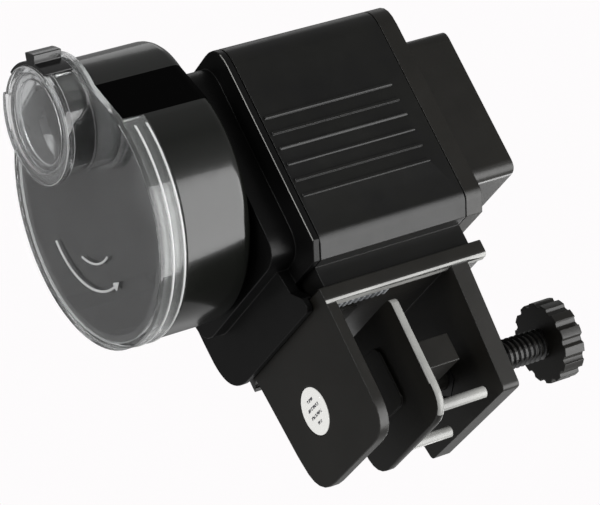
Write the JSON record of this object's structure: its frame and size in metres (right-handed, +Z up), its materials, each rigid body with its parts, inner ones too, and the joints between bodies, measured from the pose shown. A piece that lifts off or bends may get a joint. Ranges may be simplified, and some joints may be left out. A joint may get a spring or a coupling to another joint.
{
  "type": "aquarium fish feeder",
  "caption": "Battery fish feeder for a tank: a turning food drum with a clear cover and dosing cup, a geared housing with a display, and a screw clamp for the rim.",
  "frame": {"origin": "centre of the seat on the underside of the clamp, which rests on the top edge of the tank's glass between the two jaws", "axes": "+Z up away from the water, +X from the tank towards the clamp knob and the display, so -X points over the water; +Y across the housing"},
  "size_m": [0.1124, 0.066, 0.1143],
  "materials": {
    "black_satin": "satin moulded",
    "black_textured": "fine spark texture",
    "soft_rubber": "soft matt",
    "paper_label": "coated paper",
    "brass_turned": "turned",
    "steel_plain": "plain",
    "clear_plastic": "clear polished plastic",
    "smoked_plastic": "polished smoked",
    "display_grey": "liquid crystal",
    "board_green": "solder mask",
    "key_grey": "moulded silicone",
    "switch_black": "moulded",
    "cell_sleeve": "printed sleeve",
    "nylon_natural": "natural nylon"
  },
  "bodies": {
    "bracket": {"clamp_bracket": "black_satin", "rim_grip_front": "soft_rubber", "rim_grip_rear": "soft_rubber", "inspection_sticker": "paper_label", "trapped_nut": "brass_turned"},
    "jaw": {"pressure_plate": "black_satin", "screw_clip": "steel_plain"},
    "screw": {"clamp_screw": "black_satin", "clamp_knob": "black_satin"},
    "housing": {"main_shell": "black_textured", "gearbox_cover": "black_textured", "end_cap": "black_textured", "control_head": "black_textured", "display_lens": "clear_plastic", "display_module": "display_grey", "circuit_board": "board_green", "switch_set": "switch_black", "switch_up": "switch_black", "switch_feed": "switch_black", "switch_down": "switch_black", "head_screw_1": "steel_plain", "head_screw_2": "steel_plain", "head_screw_3": "steel_plain", "head_screw_4": "steel_plain", "gearbox_screw_1": "steel_plain", "gearbox_screw_2": "steel_plain", "gearbox_screw_3": "steel_plain", "gearbox_screw_4": "steel_plain", "battery_left": "cell_sleeve", "battery_right": "cell_sleeve", "contact_bridge": "steel_plain", "contact_minus": "steel_plain", "contact_plus": "steel_plain", "motor_can": "steel_plain", "idler_pin_a": "steel_plain", "idler_pin_b": "steel_plain", "rear_bush": "brass_turned", "front_bush": "brass_turned", "home_switch": "switch_black"},
    "door": {"battery_door": "black_textured"},
    "key_set": {"button_set": "key_grey"},
    "key_up": {"button_up": "key_grey"},
    "key_feed": {"button_feed": "key_grey"},
    "key_down": {"button_down": "key_grey"},
    "rotor": {"motor_pinion": "brass_turned"},
    "idler_a": {"idler_gear_a": "nylon_natural"},
    "idler_b": {"idler_gear_b": "nylon_natural"},
    "shaft": {"drive_shaft": "steel_plain", "output_gear": "nylon_natural", "home_cam": "nylon_natural"},
    "drum": {"drum_shell": "smoked_plastic"},
    "cover": {"drum_cover": "clear_plastic"},
    "cap": {"dosing_cap": "clear_plastic"},
    "slider": {"dose_slider": "black_satin"}
  },
  "joints": [
    {"name": "jaw_slide", "type": "slide", "parent": "bracket", "child": "jaw", "axis": [1, 0, 0], "range_m": [-0.011, 0.0036]},
    {"name": "screw_turn", "type": "hinge", "parent": "jaw", "child": "screw", "pos_m": [0.03, 0, -0.0176], "axis": [1, 0, 0], "range_deg": [-2700, 900]},
    {"name": "housing_slide", "type": "slide", "parent": "bracket", "child": "housing", "axis": [-1, 0, 0], "range_m": [0, 0.045]},
    {"name": "door_lift", "type": "slide", "parent": "housing", "child": "door", "axis": [0, 1, 0], "range_m": [0, 0.03]},
    {"name": "set_press", "type": "slide", "parent": "housing", "child": "key_set", "axis": [-1, 0, 0], "range_m": [0, 0.0007], "stiffness_N_per_m": 300},
    {"name": "up_press", "type": "slide", "parent": "housing", "child": "key_up", "axis": [-1, 0, 0], "range_m": [0, 0.0007], "stiffness_N_per_m": 300},
    {"name": "feed_press", "type": "slide", "parent": "housing", "child": "key_feed", "axis": [-1, 0, 0], "range_m": [0, 0.0007], "stiffness_N_per_m": 300},
    {"name": "down_press", "type": "slide", "parent": "housing", "child": "key_down", "axis": [-1, 0, 0], "range_m": [0, 0.0007], "stiffness_N_per_m": 300},
    {"name": "drum_spin", "type": "hinge", "parent": "housing", "child": "shaft", "pos_m": [-0.01, 0, 0.0463], "axis": [1, 0, 0], "continuous": true},
    {"name": "idler_a_spin", "type": "hinge", "parent": "housing", "child": "idler_a", "pos_m": [-0.009, -0.0098, 0.03895], "axis": [1, 0, 0], "continuous": true},
    {"name": "idler_b_spin", "type": "hinge", "parent": "housing", "child": "idler_b", "pos_m": [-0.009, -0.0098, 0.0267], "axis": [1, 0, 0], "continuous": true},
    {"name": "rotor_spin", "type": "hinge", "parent": "housing", "child": "rotor", "pos_m": [-0.005, 0.00186, 0.02295], "axis": [1, 0, 0], "continuous": true},
    {"name": "drum_pull", "type": "slide", "parent": "shaft", "child": "drum", "axis": [-1, 0, 0], "range_m": [0, 0.015]},
    {"name": "cover_pull", "type": "slide", "parent": "drum", "child": "cover", "axis": [-1, 0, 0], "range_m": [0, 0.015]},
    {"name": "cap_pull", "type": "slide", "parent": "cover", "child": "cap", "axis": [-1, 0, 0], "range_m": [0, 0.008]},
    {"name": "dose_turn", "type": "hinge", "parent": "cover", "child": "slider", "pos_m": [-0.045, -0.01245, 0.06623], "axis": [1, 0, 0], "range_deg": [-24, 0]}
  ],
  "couplings": [
    {"joint": "screw_turn", "follows": "jaw_slide", "rad_per_m": 4188.8},
    {"joint": "idler_a_spin", "follows": "drum_spin", "ratio": -4},
    {"joint": "idler_b_spin", "follows": "drum_spin", "ratio": 16},
    {"joint": "rotor_spin", "follows": "drum_spin", "ratio": -64}
  ]
}
